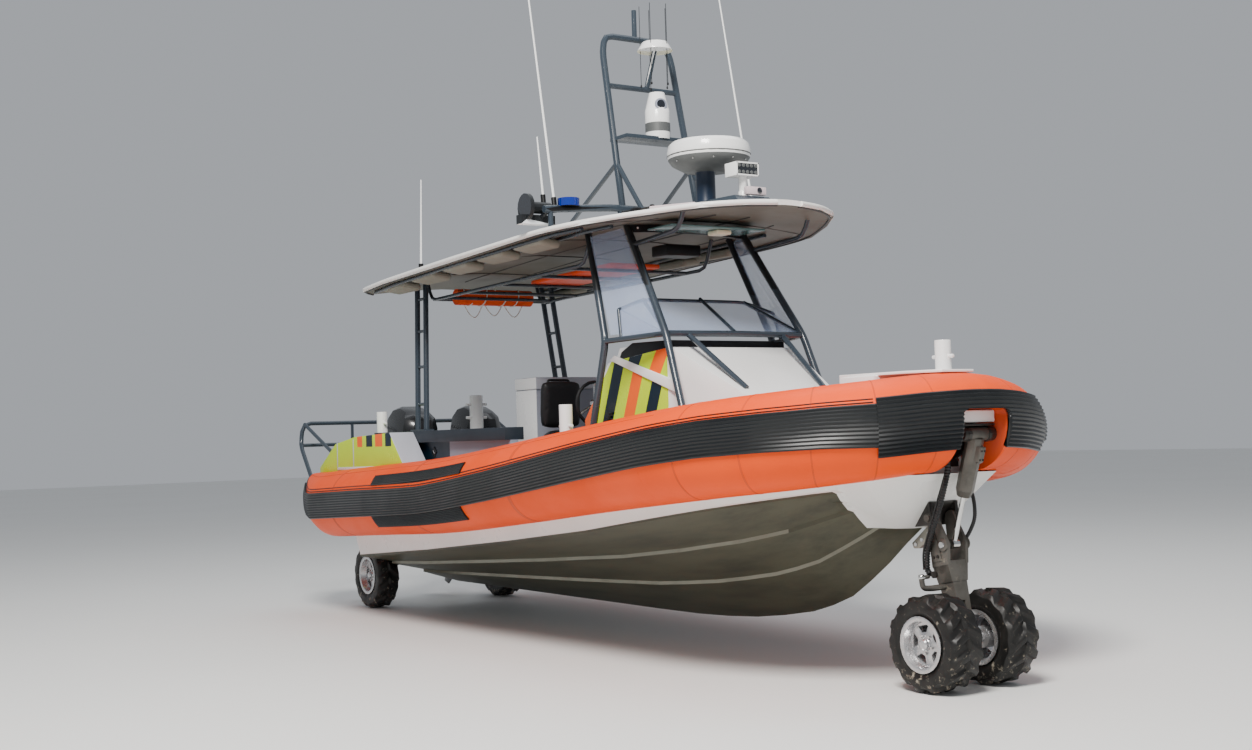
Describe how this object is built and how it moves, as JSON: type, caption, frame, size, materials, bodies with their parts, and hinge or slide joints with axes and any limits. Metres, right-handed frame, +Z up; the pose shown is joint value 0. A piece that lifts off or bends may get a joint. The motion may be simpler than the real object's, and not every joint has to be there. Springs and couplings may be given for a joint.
{
  "type": "amphibious inshore rescue boat",
  "caption": "Rigid inflatable rescue boat with a hardtop, mast, raised outboards and retractable wheel legs that let it drive up a beach.",
  "frame": {"origin": "middle of the bounding box, on the floor under the tyres", "axes": "+X forward to the bow, +Y to port, +Z up"},
  "size_m": [7.9942, 2.844, 5.4809],
  "materials": {
    "hull_aluminium": "satin",
    "orange_fabric": "satin",
    "black_rubber": "matte",
    "white_paint": "gloss",
    "console_moulding": "gloss",
    "grey_paint": "satin",
    "yellow_paint": "gloss",
    "slate_paint": "satin",
    "cream_moulding": "satin",
    "white_moulding": "gloss",
    "tinted_glass": "gloss",
    "black_vinyl": "matte",
    "black_plastic": "matte",
    "orange_cloth": "matte",
    "orange_board": "satin",
    "dark_paint": "satin",
    "leg_metal": "satin",
    "polished_rod": "polished",
    "wheel_alloy": "satin",
    "tyre_rubber": "matte",
    "motor_paint": "satin"
  },
  "bodies": {
    "boat": {"hull": "hull_aluminium", "tube_starboard": "orange_fabric", "tube_port": "orange_fabric", "tube_bow": "orange_fabric", "rub_strake": "black_rubber", "bulwark_starboard": "grey_paint", "bulwark_port": "grey_paint", "quarter_box_starboard": "yellow_paint", "quarter_box_port": "yellow_paint", "foredeck": "white_paint", "console": "console_moulding", "helm_seat_starboard": "black_vinyl", "helm_seat_port": "black_vinyl", "locker": "grey_paint", "tow_post": "white_paint", "stern_frame": "slate_paint", "hardtop": "cream_moulding", "roof_frame": "slate_paint", "after_posts_starboard": "slate_paint", "after_posts_port": "slate_paint", "windscreen": "tinted_glass", "wing_pane_starboard": "tinted_glass", "side_glass_starboard": "tinted_glass", "wing_pane_port": "tinted_glass", "side_glass_port": "tinted_glass", "roof_rails": "slate_paint", "light_bar": "slate_paint", "mast": "slate_paint", "radar": "white_moulding", "rescue_roll": "orange_cloth", "stretcher_board": "orange_board", "transom_brackets": "dark_paint", "bow_hinge_bracket": "dark_paint", "bow_ram_bracket": "dark_paint"},
    "locker_lid": {"locker_lid": "white_moulding"},
    "searchlight": {"searchlight": "white_moulding"},
    "steering_wheel": {"steering_wheel": "black_plastic"},
    "bow_leg": {"bow_leg": "leg_metal"},
    "bow_foot": {"bow_foot": "leg_metal"},
    "bow_wheels": {"bow_rims": "wheel_alloy", "bow_tyre_starboard": "tyre_rubber", "bow_tyre_port": "tyre_rubber"},
    "bow_ram_barrel": {"bow_ram_barrel": "leg_metal"},
    "bow_ram_rod": {"bow_ram_rod": "polished_rod"},
    "rear_leg_starboard": {"rear_leg_starboard": "leg_metal"},
    "rear_wheel_starboard": {"rear_rim_starboard": "wheel_alloy", "rear_tyre_starboard": "tyre_rubber"},
    "outboard_swivel_starboard": {"outboard_swivel_starboard": "motor_paint"},
    "outboard_motor_starboard": {"outboard_motor_starboard": "motor_paint"},
    "propeller_starboard": {"propeller_starboard": "motor_paint"},
    "rear_leg_port": {"rear_leg_port": "leg_metal"},
    "rear_wheel_port": {"rear_rim_port": "wheel_alloy", "rear_tyre_port": "tyre_rubber"},
    "outboard_swivel_port": {"outboard_swivel_port": "motor_paint"},
    "outboard_motor_port": {"outboard_motor_port": "motor_paint"},
    "propeller_port": {"propeller_port": "motor_paint"}
  },
  "joints": [
    {"name": "bow_leg_swing", "type": "hinge", "parent": "boat", "child": "bow_leg", "pos_m": [3.55519, 0, 1], "axis": [0, -1, 0], "range_deg": [0, 77]},
    {"name": "bow_foot_steer", "type": "hinge", "parent": "bow_leg", "child": "bow_foot", "pos_m": [3.69919, 0, 0.285], "axis": [-0.1974, 0, 0.9803], "range_deg": [-35, 35]},
    {"name": "bow_wheels_roll", "type": "hinge", "parent": "bow_foot", "child": "bow_wheels", "pos_m": [3.69919, 0, 0.285], "axis": [0, 1, 0], "continuous": true},
    {"name": "bow_ram_swing", "type": "hinge", "parent": "boat", "child": "bow_ram_barrel", "pos_m": [3.86119, 0, 1.494], "axis": [0, -1, 0], "range_deg": [-0.5, 2.5]},
    {"name": "bow_ram_slide", "type": "slide", "parent": "bow_ram_barrel", "child": "bow_ram_rod", "axis": [0.3096, 0, 0.9509], "range_m": [0, 0.23]},
    {"name": "rear_leg_swing_starboard", "type": "hinge", "parent": "boat", "child": "rear_leg_starboard", "pos_m": [-2.95581, -0.541, 0.76], "axis": [0, 1, 0], "range_deg": [0, 100]},
    {"name": "rear_wheel_roll_starboard", "type": "hinge", "parent": "rear_leg_starboard", "child": "rear_wheel_starboard", "pos_m": [-3.21081, -0.673, 0.31], "axis": [0, 1, 0], "continuous": true},
    {"name": "outboard_tilt_starboard", "type": "hinge", "parent": "boat", "child": "outboard_swivel_starboard", "pos_m": [-3.08081, -0.34, 1.01], "axis": [0, 1, 0], "range_deg": [-18, 47]},
    {"name": "outboard_steer_starboard", "type": "hinge", "parent": "outboard_swivel_starboard", "child": "outboard_motor_starboard", "pos_m": [-3.22347, -0.34, 1.05635], "axis": [0.309, 0, 0.9511], "range_deg": [-25, 25]},
    {"name": "propeller_spin_starboard", "type": "hinge", "parent": "outboard_motor_starboard", "child": "propeller_starboard", "pos_m": [-3.87583, -0.34, 0.34303], "axis": [0.9511, 0, -0.309], "continuous": true},
    {"name": "rear_leg_swing_port", "type": "hinge", "parent": "boat", "child": "rear_leg_port", "pos_m": [-2.95581, 0.541, 0.76], "axis": [0, 1, 0], "range_deg": [0, 100]},
    {"name": "rear_wheel_roll_port", "type": "hinge", "parent": "rear_leg_port", "child": "rear_wheel_port", "pos_m": [-3.21081, 0.673, 0.31], "axis": [0, 1, 0], "continuous": true},
    {"name": "outboard_tilt_port", "type": "hinge", "parent": "boat", "child": "outboard_swivel_port", "pos_m": [-3.08081, 0.34, 1.01], "axis": [0, 1, 0], "range_deg": [-18, 47]},
    {"name": "outboard_steer_port", "type": "hinge", "parent": "outboard_swivel_port", "child": "outboard_motor_port", "pos_m": [-3.22347, 0.34, 1.05635], "axis": [0.309, 0, 0.9511], "range_deg": [-25, 25]},
    {"name": "propeller_spin_port", "type": "hinge", "parent": "outboard_motor_port", "child": "propeller_port", "pos_m": [-3.87583, 0.34, 0.34303], "axis": [0.9511, 0, -0.309], "continuous": true},
    {"name": "steering_wheel_turn", "type": "hinge", "parent": "boat", "child": "steering_wheel", "pos_m": [0.23919, -0.35, 1.8], "axis": [1, 0, 0], "range_deg": [-540, 540]},
    {"name": "locker_lid_open", "type": "hinge", "parent": "boat", "child": "locker_lid", "pos_m": [-1.10081, 0, 1.9504], "axis": [0, -1, 0], "range_deg": [0, 100]},
    {"name": "searchlight_pan", "type": "hinge", "parent": "boat", "child": "searchlight", "pos_m": [1.73119, 0, 3.243], "axis": [0, 0, 1], "range_deg": [-170, 170]}
  ],
  "couplings": [
    {"joint": "bow_ram_slide", "follows": "bow_leg_swing", "m_per_rad": 0.16927},
    {"joint": "bow_ram_swing", "follows": "bow_leg_swing", "ratio": 0.016512},
    {"joint": "outboard_steer_starboard", "follows": "steering_wheel_turn", "ratio": 0.046296},
    {"joint": "outboard_steer_port", "follows": "steering_wheel_turn", "ratio": 0.046296}
  ]
}
